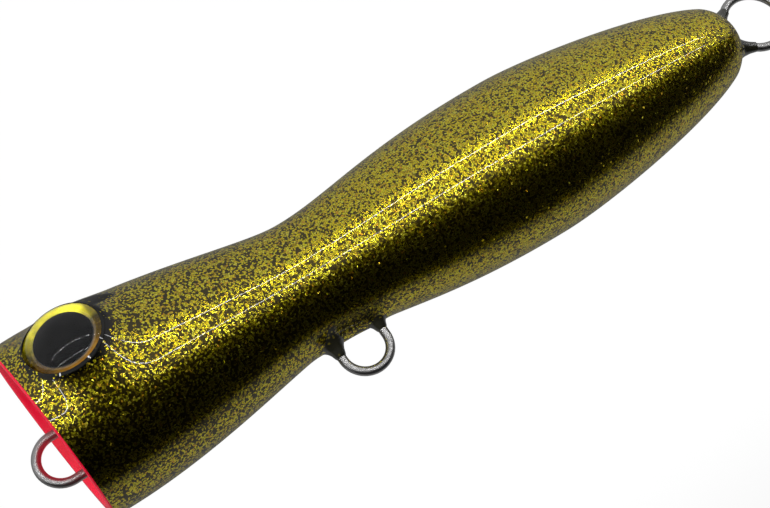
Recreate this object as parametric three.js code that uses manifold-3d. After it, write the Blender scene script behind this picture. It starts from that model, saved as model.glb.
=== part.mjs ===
// A topwater popper, a surface fishing lure, drawn as its separate pieces.
// It is a through-wire lure: one stainless wire runs inside a two-part timber body and
// comes out as the tow loop in the cup, the belly loop and the tail loop.
// Pieces are drawn from the centre of the lip on the body's axis, X towards the tail and
// Z towards the back. The group then moves them so that the origin is the tow loop's eye.
// Units are millimetres, and angles are radians.
import * as THREE from "three";
import { mergeVertices } from "three/addons/utils/BufferGeometryUtils.js";
import Module from "manifold-3d";

const wasm = await Module();
wasm.setup();

// Clearances and fineness
const GAP = 0.3;
const MERGE = 1e-4;
const TURNED_SIDES = 32;
const EYE_SIDES = 28;
const SMALL_SIDES = 14;
const CURVE_STEPS = 4;
const BEND_STEPS = 5;
const WIRE_SIDES = 8;

// Body
const BODY_LENGTH = 157.8;
const LIP = { radius: 18.2, slant: THREE.MathUtils.degToRad(7.2) };
const WAIST = { x: 53.5, radius: 12.3 };
const BULGE = { x: 104, radius: 16.9 };
const SHOULDER = { x: 153, radius: 8.3 };
const OVERRUN = 5;
const COAT = 1.3;
const GLUE_LINE = 0.3;

// Cup in the nose
const CUP = { depth: 9, mouth: 16.2, coat: 0.8 };
const CUP_SPHERE = (CUP.mouth ** 2 + CUP.depth ** 2) / (2 * CUP.depth);
const CUP_CENTRE = CUP.depth - CUP_SPHERE;

// Through-wire and its three loops
const WIRE = 0.9;
const HOLE = WIRE + GAP;
const GROOVE = WIRE + 2 * GAP;
const TOW = { x: -0.3, z: -4.9, bend: 4.55 };
const BELLY = { x: 55.6, z: -16.4, bend: 4.7, run: -8, corner: 3 };
const TAIL = { x: BODY_LENGTH + 6.7, bend: 6.5, run: 3.2, corner: 3 };
const SPLICE = { start: 84, end: 104, blend: 8, side: WIRE + GAP / 2 };
const SLEEVE = { length: 5, wall: 0.7, inset: 4.5 };

// Eyes, each on an axis that leaves the body's own at x, up by raise and forward by lean.
// Their heights are measured along that axis.
const EYE = {
  x: 12.2,
  raise: THREE.MathUtils.degToRad(21.6),
  lean: THREE.MathUtils.degToRad(8),
  radius: 7.5,
};
const EYE_SEAT = 16.3;
const EYE_BACKING = { base: 16.6, shelf: 18, radius: 7.3 };
const PUPIL = { top: 18.6, radius: 4.8 };
const IRIS = { base: 18.3, top: 18.6, inner: 5.1 };
const DOME = { base: 18.9, edge: 19.2, top: 22.7 };
const SKIRT = { top: 19, topRadius: 8.7, base: 12, baseRadius: 14 };

// Lead ballast under the wire
const BALLAST = {
  mid_ballast: { x: 105, z: -11.5, radius: 3.1, length: 22 },
  rear_ballast: { x: 127, z: -9.2, radius: 2.1, length: 12 },
};

// Epoxy collars where the wire comes out
const COLLAR_TIP = 1.5;
const COLLAR_BASE = { cup: 2.6, belly: 5.2, tail: 3.4 };
const BELLY_COLLAR = { from: -9, to: -15.6 };
const TAIL_COLLAR = { from: [154.7, 2.5], to: [160.6, 5.1] };
const CUP_COLLAR = { below: 3, above: 2.4 };

// Solids and meshes

function solid(geometry) {
  const bare = geometry.clone();
  bare.deleteAttribute("normal");
  bare.deleteAttribute("uv");
  const merged = mergeVertices(bare, MERGE);
  const corners = merged.index.array;
  const triangles = [];
  for (let i = 0; i < corners.length; i += 3) {
    const [a, b, c] = corners.subarray(i, i + 3);
    if (a !== b && b !== c && c !== a) triangles.push(a, b, c);
  }
  return new wasm.Manifold(
    new wasm.Mesh({
      numProp: 3,
      vertProperties: merged.attributes.position.array,
      triVerts: new Uint32Array(triangles),
    }),
  );
}

function geometryOf(body) {
  const mesh = body.getMesh();
  const geometry = new THREE.BufferGeometry();
  geometry.setAttribute("position", new THREE.BufferAttribute(mesh.vertProperties, 3));
  geometry.setIndex(new THREE.BufferAttribute(mesh.triVerts, 1));
  const faceted = geometry.toNonIndexed();
  faceted.computeVertexNormals();
  return faceted;
}

function cut(body, ...tools) {
  return tools.reduce((rest, tool) => rest.subtract(tool), body);
}

function piece(name, shape, material) {
  const geometry = shape.isBufferGeometry ? shape : geometryOf(shape);
  const mesh = new THREE.Mesh(geometry, material);
  mesh.name = name;
  return mesh;
}

function finish(color, roughness, metalness) {
  return new THREE.MeshStandardMaterial({ color, roughness, metalness });
}

// Turns an outline of (x, radius) points about the body's axis.
function turned(outline, sides = TURNED_SIDES) {
  const profile = outline.map((p) => new THREE.Vector2(Math.max(p.y, 0), p.x));
  return new THREE.LatheGeometry(profile, sides).rotateZ(-Math.PI / 2);
}

function rodAlongX(radius, length, sides = SMALL_SIDES) {
  return new THREE.CylinderGeometry(radius, radius, length, sides).rotateZ(Math.PI / 2);
}

// A cone from one point of the wire's plane to another, wide end first.
function coneAlong([fromX, fromZ], [toX, toZ], wide, narrow) {
  const from = new THREE.Vector3(fromX, 0, fromZ);
  const along = new THREE.Vector3(toX, 0, toZ).sub(from);
  const cone = new THREE.CylinderGeometry(narrow, wide, along.length(), SMALL_SIDES);
  const up = new THREE.Vector3(0, 1, 0);
  const turn = new THREE.Quaternion().setFromUnitVectors(up, along.clone().normalize());
  cone.applyQuaternion(turn);
  return cone.translate(...from.addScaledVector(along, 0.5));
}

// Body outlines

// The lure's outside as (x, radius), from ahead of the lip to the tip of the tail.
function bodyOutline() {
  const path = new THREE.Path();
  path.moveTo(-OVERRUN, LIP.radius - 0.3);
  path.lineTo(0, LIP.radius);
  path.bezierCurveTo(22, 19.5, 45, WAIST.radius, WAIST.x, WAIST.radius);
  path.bezierCurveTo(65.5, WAIST.radius, 75.5, BULGE.radius, BULGE.x, BULGE.radius);
  path.bezierCurveTo(114, BULGE.radius, 142, 13.4, SHOULDER.x, SHOULDER.radius);
  path.bezierCurveTo(156.3, 6.3, BODY_LENGTH, 3.5, BODY_LENGTH, 0);
  return path.getPoints(CURVE_STEPS);
}

// The outside drawn in by a depth, or out by a negative one, and turned.
function bodyInside(depth) {
  const outside = bodyOutline();
  const last = outside.length - 1;
  const inside = outside.map((point, i) => {
    const before = outside[Math.max(i - 1, 0)];
    const after = outside[Math.min(i + 1, last)];
    const along = i === last ? new THREE.Vector2(0, -1) : after.clone().sub(before);
    along.normalize();
    return new THREE.Vector2(point.x + along.y * depth, point.y - along.x * depth);
  });
  inside[last].y = 0;
  return solid(turned([new THREE.Vector2(inside[0].x, 0), ...inside]));
}

// Everything ahead of the cup's surface, moved back by an offset, on the slanted lip.
function cupSpace(offset) {
  const radius = CUP_SPHERE + offset;
  const toPlane = offset - CUP_CENTRE;
  const path = new THREE.Path();
  path.moveTo(-3 * OVERRUN, 0);
  path.lineTo(-3 * OVERRUN, 2 * LIP.radius);
  path.lineTo(offset, 2 * LIP.radius);
  path.absarc(CUP_CENTRE, 0, radius, Math.acos(toPlane / radius), 0, true);
  return solid(turned(path.getPoints(CURVE_STEPS)).rotateY(-LIP.slant));
}

// Through-wire

// A route through given stations, so that bends get short steps and straights long ones.
class StationRoute extends THREE.Curve {
  constructor(stations) {
    super();
    this.stations = stations;
  }

  getPointAt(u, target = new THREE.Vector3()) {
    const index = Math.round(u * (this.stations.length - 1));
    return target.copy(this.stations[index]);
  }

  getTangentAt(u, target = new THREE.Vector3()) {
    const last = this.stations.length - 1;
    const index = Math.round(u * last);
    const before = this.stations[Math.max(index - 1, 0)];
    const after = this.stations[Math.min(index + 1, last)];
    return target.copy(after).sub(before).normalize();
  }
}

function upperRunHeight(x) {
  const from = TOW.z + TOW.bend;
  return THREE.MathUtils.mapLinear(x, TOW.x, TAIL.x - 2 * TAIL.corner, from, TAIL.run);
}

// The tail, belly and tow loops with the runs between them, in the wire's own plane.
function loopsPath() {
  const path = new THREE.Path();
  const rise = TAIL.run + TAIL.corner;
  const reach = Math.sqrt((TAIL.bend + TAIL.corner) ** 2 - rise ** 2);
  const meet = Math.atan2(rise, reach);
  const quarter = Math.PI / 2;
  path.absarc(TAIL.x - reach, rise, TAIL.corner, -quarter, -meet, false);
  path.absarc(TAIL.x, 0, TAIL.bend, Math.PI - meet, meet - Math.PI, true);
  path.absarc(TAIL.x - reach, -rise, TAIL.corner, meet, quarter, false);
  const side = BELLY.bend + BELLY.corner;
  const drop = BELLY.run - BELLY.corner;
  path.absarc(BELLY.x + side, drop, BELLY.corner, quarter, Math.PI, false);
  path.absarc(BELLY.x, BELLY.z, BELLY.bend, 0, -Math.PI, true);
  path.absarc(BELLY.x - side, drop, BELLY.corner, 0, quarter, false);
  path.absarc(TOW.x, TOW.z, TOW.bend, -quarter, -3 * quarter, true);
  return path;
}

// The wire's two ends lie side by side along the splice.
function wireStations() {
  const strand = (x, y) => new THREE.Vector3(x, y, upperRunHeight(x));
  const { start, end, blend, side } = SPLICE;
  return [
    strand(start, -side),
    strand(end, -side),
    strand(end + blend, 0),
    ...loopsPath()
      .getPoints(BEND_STEPS)
      .map((p) => new THREE.Vector3(p.x, 0, p.y)),
    strand(start - blend, 0),
    strand(start, side),
    strand(end, side),
  ];
}

function wireSweep(radius) {
  const route = new StationRoute(wireStations());
  const corners = [];
  for (let i = 0; i < WIRE_SIDES; i++) {
    const angle = ((i + 0.5) / WIRE_SIDES) * 2 * Math.PI;
    corners.push(new THREE.Vector2(radius * Math.cos(angle), radius * Math.sin(angle)));
  }
  return new THREE.ExtrudeGeometry(new THREE.Shape(corners), {
    steps: route.stations.length - 1,
    extrudePath: route,
    bevelEnabled: false,
  });
}

// A pressed sleeve around both strands of the splice.
function stadium(target, halfGap, radius) {
  const quarter = Math.PI / 2;
  target.absarc(halfGap, 0, radius, -quarter, quarter, false);
  target.absarc(-halfGap, 0, radius, quarter, 3 * quarter, false);
  target.closePath();
  return target;
}

function spliceSleeve(x) {
  const outline = stadium(new THREE.Shape(), SPLICE.side, HOLE + SLEEVE.wall);
  outline.holes.push(stadium(new THREE.Path(), SPLICE.side, HOLE));
  const sleeve = new THREE.ExtrudeGeometry(outline, {
    depth: SLEEVE.length,
    curveSegments: CURVE_STEPS,
    bevelEnabled: false,
  });
  sleeve.rotateZ(Math.PI / 2).rotateY(Math.PI / 2);
  return sleeve.translate(x - SLEEVE.length / 2, 0, upperRunHeight(x));
}

function splicePocket() {
  const reach = SPLICE.side + HOLE + SLEEVE.wall + GAP;
  const height = HOLE + SLEEVE.wall + 2 * GAP;
  const length = SPLICE.end - SPLICE.start + 2 * SPLICE.blend;
  const middle = (SPLICE.start + SPLICE.end) / 2;
  const box = new THREE.BoxGeometry(length, 2 * reach, 2 * height);
  return solid(box.translate(middle, 0, upperRunHeight(middle)));
}

// Eyes, each drawn upright above the body's axis and then turned to its side

function onEyeAxis(geometry, side) {
  const leaned = geometry.rotateY(-EYE.lean);
  return leaned.rotateX(side * (EYE.raise - Math.PI / 2)).translate(EYE.x, 0, 0);
}

function turnedUpright(outline) {
  const profile = outline.map(([radius, height]) => new THREE.Vector2(radius, height));
  return new THREE.LatheGeometry(profile, EYE_SIDES).rotateX(Math.PI / 2);
}

function eyeBacking() {
  const { base, shelf, radius } = EYE_BACKING;
  return turnedUpright([
    [0, base],
    [radius, base],
    [radius, shelf],
    [PUPIL.radius, shelf],
    [PUPIL.radius, PUPIL.top],
    [0, PUPIL.top],
  ]);
}

function irisRing() {
  return turnedUpright([
    [IRIS.inner, IRIS.base],
    [EYE_BACKING.radius, IRIS.base],
    [EYE_BACKING.radius, IRIS.top],
    [IRIS.inner, IRIS.top],
    [IRIS.inner, IRIS.base],
  ]);
}

function eyeDome() {
  const rise = DOME.top - DOME.edge;
  const sphere = (EYE.radius ** 2 + rise ** 2) / (2 * rise);
  const spread = Math.asin(EYE.radius / sphere);
  const outline = [
    [0, DOME.base],
    [EYE.radius, DOME.base],
  ];
  for (let i = 0; i <= CURVE_STEPS; i++) {
    const angle = spread * (1 - i / CURVE_STEPS);
    const height = DOME.top - sphere * (1 - Math.cos(angle));
    outline.push([sphere * Math.sin(angle), height]);
  }
  return turnedUpright(outline);
}

function eyeSocket(side) {
  const depth = DOME.top + GAP - EYE_SEAT;
  const socket = new THREE.CylinderGeometry(
    EYE.radius + GAP,
    EYE.radius + GAP,
    depth,
    EYE_SIDES,
  );
  socket.rotateX(Math.PI / 2).translate(0, 0, EYE_SEAT + depth / 2);
  return solid(onEyeAxis(socket, side));
}

function eyeSkirt(side) {
  const { top, topRadius, base, baseRadius } = SKIRT;
  const height = top - base;
  const skirt = new THREE.CylinderGeometry(topRadius, baseRadius, height, EYE_SIDES);
  skirt.rotateX(Math.PI / 2).translate(0, 0, base + height / 2);
  return solid(onEyeAxis(skirt, side));
}

// Body shells and halves

const SIDES = { left: -1, right: 1 };
const outside = bodyInside(0);
const aroundOutside = bodyInside(-GAP);
const sockets = Object.values(SIDES).map(eyeSocket);
const wireHole = solid(wireSweep(HOLE));

function bodyCoat() {
  const skirted = outside.add(eyeSkirt(SIDES.left)).add(eyeSkirt(SIDES.right));
  return cut(skirted, bodyInside(COAT), cupSpace(CUP.coat + GAP), wireHole, ...sockets);
}

function cupCoat() {
  return cut(cupSpace(CUP.coat), cupSpace(0), wireHole).intersect(outside);
}

function ballastRod({ x, z, radius, length }, clearance) {
  return rodAlongX(radius + clearance, length + 2 * clearance).translate(x, 0, z);
}

function bodyHalf(side) {
  const reach = 2 * LIP.radius;
  const box = new THREE.BoxGeometry(2 * BODY_LENGTH, reach, 2 * reach);
  const half = solid(box.translate(BODY_LENGTH / 2, (side * (reach + GLUE_LINE)) / 2, 0));
  return cut(
    bodyInside(COAT + GAP).intersect(half),
    cupSpace(CUP.coat + 2 * GAP),
    solid(wireSweep(GROOVE)),
    splicePocket(),
    ...Object.values(BALLAST).map((rod) => solid(ballastRod(rod, GAP))),
    ...sockets,
  );
}

// Epoxy collars

// The cup's surface on the wire's plane, at a height.
function cupFloor(z) {
  return CUP_CENTRE + Math.sqrt(CUP_SPHERE ** 2 - z ** 2) - z * Math.tan(LIP.slant);
}

function cupCollar(z) {
  const from = cupFloor(z) + CUP_COLLAR.below;
  const to = cupFloor(z) - CUP_COLLAR.above;
  const cone = solid(coneAlong([from, z], [to, z], COLLAR_BASE.cup, COLLAR_TIP));
  return cut(cone.intersect(cupSpace(-GAP)), wireHole);
}

function bellyCollar(x) {
  const { from, to } = BELLY_COLLAR;
  const cone = solid(coneAlong([x, from], [x, to], COLLAR_BASE.belly, COLLAR_TIP));
  return cut(cone, aroundOutside, wireHole);
}

function tailCollar(side) {
  const [from, to] = [TAIL_COLLAR.from, TAIL_COLLAR.to].map(([x, z]) => [x, side * z]);
  const cone = solid(coneAlong(from, to, COLLAR_BASE.tail, COLLAR_TIP));
  return cut(cone, aroundOutside, wireHole);
}

// Materials
const glitter = finish(0x8a7620, 0.25, 0.4);
const redLacquer = finish(0xd9142f, 0.15, 0);
const timber = finish(0xc9a878, 0.7, 0);
const stainless = finish(0xb9bcc0, 0.2, 1);
const copper = finish(0xb06a3c, 0.35, 1);
const lead = finish(0x5f6368, 0.6, 0.8);
const blackPlastic = finish(0x0b0b0c, 0.2, 0);
const goldFoil = finish(0xd8c21f, 0.3, 0.8);
const epoxy = finish(0x15160f, 0.1, 0);
const clearResin = new THREE.MeshStandardMaterial({
  color: 0xf4f4ee,
  roughness: 0.03,
  metalness: 0,
  transparent: true,
  opacity: 0.35,
});

// Assembly
const lure = new THREE.Group();
lure.position.set(-TOW.x, 0, -TOW.z);
lure.add(
  piece("body_coat", bodyCoat(), glitter),
  piece("cup_coat", cupCoat(), redLacquer),
  piece("through_wire", wireSweep(WIRE), stainless),
  piece("splice_sleeve_front", spliceSleeve(SPLICE.start + SLEEVE.inset), copper),
  piece("splice_sleeve_rear", spliceSleeve(SPLICE.end - SLEEVE.inset), copper),
  piece("cup_collar_upper", cupCollar(TOW.z + TOW.bend), epoxy),
  piece("cup_collar_lower", cupCollar(TOW.z - TOW.bend), epoxy),
  piece("belly_collar_front", bellyCollar(BELLY.x - BELLY.bend), epoxy),
  piece("belly_collar_rear", bellyCollar(BELLY.x + BELLY.bend), epoxy),
  piece("tail_collar_upper", tailCollar(1), epoxy),
  piece("tail_collar_lower", tailCollar(-1), epoxy),
);
for (const [name, rod] of Object.entries(BALLAST)) {
  lure.add(piece(name, ballastRod(rod, 0), lead));
}
for (const [name, side] of Object.entries(SIDES)) {
  lure.add(
    piece(`body_half_${name}`, bodyHalf(side), timber),
    piece(`eye_backing_${name}`, onEyeAxis(eyeBacking(), side), blackPlastic),
    piece(`iris_ring_${name}`, onEyeAxis(irisRing(), side), goldFoil),
    piece(`eye_dome_${name}`, onEyeAxis(eyeDome(), side), clearResin),
  );
}

const popper = new THREE.Group();
popper.add(lure);

export default popper;
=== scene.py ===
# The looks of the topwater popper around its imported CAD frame.
# Shapes are drawn in millimetres from the centre of the lip on the body's axis, X towards
# the tail, Y towards the right side and Z towards the back, and stored in metres in the row frame.
import math

import bpy
import numpy as np
from mathutils import Matrix, Vector


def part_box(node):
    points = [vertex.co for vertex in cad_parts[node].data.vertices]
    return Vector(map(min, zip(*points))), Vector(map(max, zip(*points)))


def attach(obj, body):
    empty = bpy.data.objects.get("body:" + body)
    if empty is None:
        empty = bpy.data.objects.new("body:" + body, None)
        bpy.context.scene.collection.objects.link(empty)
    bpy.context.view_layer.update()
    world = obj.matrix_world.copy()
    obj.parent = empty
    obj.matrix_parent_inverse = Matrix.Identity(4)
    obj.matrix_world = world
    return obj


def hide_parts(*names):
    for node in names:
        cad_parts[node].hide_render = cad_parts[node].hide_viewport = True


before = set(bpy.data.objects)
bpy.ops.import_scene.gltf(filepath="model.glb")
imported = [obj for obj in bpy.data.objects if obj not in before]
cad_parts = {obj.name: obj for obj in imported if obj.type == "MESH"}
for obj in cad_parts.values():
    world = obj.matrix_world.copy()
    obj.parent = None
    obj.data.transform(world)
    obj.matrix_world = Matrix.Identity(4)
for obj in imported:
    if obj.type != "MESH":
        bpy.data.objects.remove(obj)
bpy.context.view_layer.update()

MM = 0.001
TAU = 2 * math.pi

# The body's outside, as in the CAD source: places along the axis and the radius there
BODY_LENGTH = 157.8
LIP_RADIUS = 18.2
LIP_SLANT = math.radians(7.2)
WAIST = {"x": 53.5, "radius": 12.3}
BULGE = {"x": 104, "radius": 16.9}
SHOULDER = {"x": 153, "radius": 8.3}
COAT = 1.3

# The cup: a dish from one sphere, square to the slanted lip
CUP_DEPTH = 9.0
CUP_MOUTH = 16.2
CUP_COAT = 0.8
CUP_SPHERE = (CUP_MOUTH**2 + CUP_DEPTH**2) / (2 * CUP_DEPTH)
CUP_CENTRE = CUP_DEPTH - CUP_SPHERE

# The wire: its radius, each loop's middle and bends, and the splice of its two ends
WIRE = 0.9
TOW = {"x": -0.3, "z": -4.9, "bend": 4.55}
BELLY = {"x": 55.6, "z": -16.4, "bend": 4.7, "run": -8.0, "corner": 3.0}
TAIL = {"x": BODY_LENGTH + 6.7, "bend": 6.5, "run": 3.2, "corner": 3.0}
SPLICE = {"start": 84.0, "end": 104.0, "blend": 8.0, "side": 1.05}

# The eyes: each axis starts on the body's, and the heights are along it
EYE_FOOT = 12.2
EYE_RAISE = math.radians(21.6)
EYE_LEAN = math.radians(8)
EYE_RADIUS = 7.5
BACKING = {"bottom": 16.6, "step": 17.95, "top": 18.64, "radius": 4.98}
IRIS = {"bottom": 18.0, "top": 18.6, "inner": 5.02, "outer": 7.42}
DOME_EDGE = 19.2
DOME_TOP = 22.7
DOME_SPHERE = (EYE_RADIUS**2 + (DOME_TOP - DOME_EDGE) ** 2) / (2 * (DOME_TOP - DOME_EDGE))

# The body's axis and lip in the row frame, from the CAD nodes themselves
tail_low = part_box("tail_collar_lower")[0].z
tail_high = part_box("tail_collar_upper")[1].z
LIP = np.array([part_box("body_coat")[1].x - BODY_LENGTH * MM, 0.0, (tail_low + tail_high) / 2])


# ---- meshes ----

def to_row(points):
    """Design millimetres to row-frame metres."""
    return np.asarray(points, float) * MM + LIP


def add_mesh(name, points, faces, material, replaces=(), sharp=None, attributes=None):
    """One piece of the lure on the root body and the CAD nodes that it stands for."""
    mesh = bpy.data.meshes.new(name)
    mesh.from_pydata(to_row(points).tolist(), [], faces)
    mesh.validate()
    mesh.update()
    for key, values in (attributes or {}).items():
        layer = mesh.attributes.new(key, "FLOAT", "POINT")
        layer.data.foreach_set("value", np.asarray(values, np.float32))
    mesh.shade_smooth()
    if sharp is not None:
        mesh.set_sharp_from_angle(angle=math.radians(sharp))
    mesh.materials.append(material)
    piece = bpy.data.objects.new(name, mesh)
    bpy.context.scene.collection.objects.link(piece)
    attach(piece, "root")
    if replaces:
        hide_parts(*replaces)
    return piece


def smooth(t):
    """An even step from 0 to 1."""
    t = np.clip(t, 0.0, 1.0)
    return t * t * (3 - 2 * t)


def smooth_max(a, b, k):
    """The larger of two, with a fillet where they are within k of each other."""
    gap = np.maximum(k - np.abs(a - b), 0.0)
    return np.maximum(a, b) + gap * gap / (4 * k)


def bezier(p0, p1, p2, p3, count):
    """Points along a cubic curve."""
    t = np.linspace(0, 1, count)[:, None]
    p0, p1, p2, p3 = (np.array(p, float) for p in (p0, p1, p2, p3))
    return p0 * (1 - t) ** 3 + 3 * p1 * t * (1 - t) ** 2 + 3 * p2 * t * t * (1 - t) + p3 * t**3


def body_outline():
    """The lure's outside as (x, radius), with one point ahead of the lip for its slant."""
    count = 400
    lip = (0, LIP_RADIUS)
    waist = (WAIST["x"], WAIST["radius"])
    bulge = (BULGE["x"], BULGE["radius"])
    shoulder = (SHOULDER["x"], SHOULDER["radius"])
    tip = (BODY_LENGTH, 0)
    parts = [
        np.array([[-5.0, 17.9]]),
        bezier(lip, (22, 19.5), (45, waist[1]), waist, count),
        bezier(waist, (65.5, waist[1]), (75.5, bulge[1]), bulge, count)[1:],
        bezier(bulge, (114, bulge[1]), (142, 13.4), shoulder, count)[1:],
        bezier(shoulder, (156.3, 6.3), (BODY_LENGTH, 3.5), tip, count)[1:],
    ]
    return np.vstack(parts)


OUTLINE = body_outline()


def radius_at(x):
    """The body's radius at a place along it, and 0 behind its tip."""
    return np.interp(x, OUTLINE[:, 0], OUTLINE[:, 1], right=0.0)


def ring_faces(lower, upper, closed=True):
    """Quads between two rows of vertex numbers."""
    count = len(lower)
    last = count if closed else count - 1
    return [
        (lower[i], lower[(i + 1) % count], upper[(i + 1) % count], upper[i]) for i in range(last)
    ]


def revolve(profile, sides):
    """A closed turned solid about Z from (radius, height) points that start and end on the axis."""
    angles = np.arange(sides) * TAU / sides
    points, rows = [], []
    for radius, height in profile:
        if radius < 1e-9:
            rows.append([len(points)] * sides)
            points.append((0.0, 0.0, height))
        else:
            rows.append(list(range(len(points), len(points) + sides)))
            points += [(radius * math.cos(a), radius * math.sin(a), height) for a in angles]
    faces = []
    for low, high in zip(rows, rows[1:]):
        for i in range(sides):
            corners = (low[i], low[(i + 1) % sides], high[(i + 1) % sides], high[i])
            face = tuple(dict.fromkeys(corners))
            if len(face) > 2:
                faces.append(face)
    return np.array(points), faces


# ---- body coat ----

# The coat is a grid of rings across the body. Each eye's axis leaves it at EYE_X, where the
# grid's square rings of cells bend into round ones: up to RIM_CELLS they are the eye's hole, and
# by FADE_CELLS they are square again. The first rings follow the slanted lip.
AROUND = 300
EYE_X = 9.6
EYE_CELLS = 24
RIM_CELLS = 18
FADE_CELLS = EYE_CELLS + 10
GRID_STEP = EYE_X / EYE_CELLS
NOSE_END = 26
TAIL_START = 150
TAIL_RINGS = 26
LIP_REACH = 6.0

# The epoxy skirt laps the dome's edge, thin there, and slopes down to the body
LAP_RADIUS = EYE_RADIUS - 0.38
LAP_SEAT = EYE_RADIUS + 0.06
LAP = {"thickness": 0.35, "thickens": 1.2, "reach": 9.5, "fade": 3.5}
SKIRT = {"top": 19.67, "slope": 1.25, "blend": 2.7, "reach": 17, "half_width": 16.5}

# Flakes stay off the skirt out to these distances, and are thinner towards the nose.
# The reach behind and above each eye is painted shade of the raised skirt, drawn as bare black.
BARE = {"front": 6.9, "rear": 0.6, "upper_rear_painted_shade": 4.8, "fade": 1.9}
THIN_NOSE = {"share": 0.72, "from": 15, "over": 70}

# The coat starts just behind the lip's plane, and its edge's insets are shares of the radius
COAT_START = 0.35
EDGE_INSET = 0.35 / 18
EDGE_ROUNDING = 0.05 / 18
EDGE_BACK = 0.02

# A shallow web of epoxy fills the space between the belly loop's legs
WEB = {"height": 1.1, "half_length": 10, "fade": 6, "spread": 2.9, "bare": 0.35}


def lip_x(angle):
    """Where the slanted lip's plane meets the outside, for an angle about the axis."""
    return -LIP_RADIUS * np.sin(angle) * math.tan(LIP_SLANT)


def ring_stations():
    """The coat's rings as (x, radius): close at the nose, and even along the tail's curve."""
    nose = np.arange(0, NOSE_END, GRID_STEP)
    middle = np.arange(nose[-1] + 0.8, TAIL_START, 1.0)
    tail = OUTLINE[OUTLINE[:, 0] >= TAIL_START + 0.4]
    along = np.r_[0, np.cumsum(np.hypot(*np.diff(tail, axis=0).T))]
    picks = np.linspace(0, along[-1], TAIL_RINGS)
    tail = np.c_[np.interp(picks, along, tail[:, 0]), np.interp(picks, along, tail[:, 1])]
    front = np.r_[nose, middle]
    return np.vstack([np.c_[front, radius_at(front)], tail])


def eye_axes(eye_side):
    """One eye's foot on the body's axis, and its own directions along, across and outward."""
    raised = np.array([0, eye_side * math.cos(EYE_RAISE), math.sin(EYE_RAISE)])
    ahead = np.array([1.0, 0, 0])
    along = math.cos(EYE_LEAN) * ahead + math.sin(EYE_LEAN) * raised
    outward = math.cos(EYE_LEAN) * raised - math.sin(EYE_LEAN) * ahead
    return np.array([EYE_FOOT, 0, 0]), along, np.cross(ahead, raised), outward


def body_height(a, b):
    """The body's height along a leaned eye's outward direction, at a place beside its axis."""
    height = np.full(np.shape(a), LIP_RADIUS)
    for _ in range(4):
        x = EYE_FOOT + a * math.cos(EYE_LEAN) - height * math.sin(EYE_LEAN)
        level = np.sqrt(np.maximum(radius_at(x) ** 2 - b**2, 0.01))
        height = (level - a * math.sin(EYE_LEAN)) / math.cos(EYE_LEAN)
    return height


def eye_grid(eye_side, count):
    """Each vertex's row from one eye's middle, its square ring about it and its turn there."""
    centre = round(math.degrees(EYE_RAISE) * AROUND / 360)
    if eye_side < 0:
        centre = AROUND // 2 - centre
    row = np.arange(count)[:, None] - EYE_CELLS
    column = (np.arange(AROUND)[None, :] - centre + AROUND // 2) % AROUND - AROUND // 2
    return row, np.maximum(np.abs(row), np.abs(column)), np.arctan2(column, row)


def rounded_grid(a, b, near, row, cells, turn):
    """Bends the square rings near an eye into round ones, and fades that out around them."""
    ring_radius = np.where(
        cells <= RIM_CELLS,
        LAP_RADIUS * cells / RIM_CELLS,
        LAP_RADIUS + (cells - RIM_CELLS) * GRID_STEP,
    )
    keep = np.maximum(
        smooth((cells - RIM_CELLS - 1) / (FADE_CELLS - RIM_CELLS - 1)),
        smooth((-row - RIM_CELLS - 1) / (EYE_CELLS - RIM_CELLS - 1)) * np.ones_like(cells),
    )
    a = np.where(near, a * keep + ring_radius * np.cos(turn) * (1 - keep), a)
    b = np.where(near, b * keep + ring_radius * np.sin(turn) * (1 - keep), b)
    return a, b


def bare_skirt_and_painted_shade(a, backward, distance):
    """1 where the skirt is bare of flakes, clear epoxy over black; its reach behind and above is
    painted shade.
    """
    behind, above = smooth(a / 9), smooth((backward - 3) / 4)
    # The upper rear reach is painted shade behind the raised skirt, not bare epoxy.
    edge = BARE["front"] + BARE["rear"] * smooth(a / 8) + BARE["upper_rear_painted_shade"] * behind * above
    return 1 - smooth((distance - edge) / BARE["fade"])


def skirted(points, eye_side):
    """The coat's outside raised into one eye's skirt.

    Also gives how bare of flakes it is, with painted shade behind and above the eye, each vertex's
    ring about the eye, the coat's underside there, and how far that underside replaces the body's
    own.
    """
    foot, along, across, outward = eye_axes(eye_side)
    row, cells, turn = eye_grid(eye_side, len(points))
    a = (points - foot) @ along
    b = points @ across
    facing = (points - foot) @ outward > 0
    near = (cells < FADE_CELLS) & facing
    a, b = rounded_grid(a, b, near, row, cells, turn)
    distance = np.hypot(a, b)
    slope = SKIRT["top"] - SKIRT["slope"] * (distance - LAP_RADIUS)
    height = smooth_max(body_height(a, b), slope, SKIRT["blend"])
    inside = facing & (distance < SKIRT["reach"]) & (np.abs(b) < SKIRT["half_width"])
    touched = inside | near
    raised = foot + a[..., None] * along + b[..., None] * across + height[..., None] * outward
    outside = np.where(touched[..., None], raised, points)
    bare = np.where(inside, bare_skirt_and_painted_shade(a, eye_side * b, distance), 0.0)
    thickened = smooth((distance - LAP_RADIUS) / LAP["thickens"])
    thick = LAP["thickness"] + (COAT - LAP["thickness"]) * thickened
    push = np.maximum(distance, LAP_SEAT) / np.maximum(distance, 0.01)
    under = foot + (a * push)[..., None] * along + (b * push)[..., None] * across
    under = under + (height - thick)[..., None] * outward
    share = np.where(touched, 1 - smooth((distance - LAP["reach"]) / LAP["fade"]), 0.0)
    return outside, bare, cells, under, share


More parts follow.
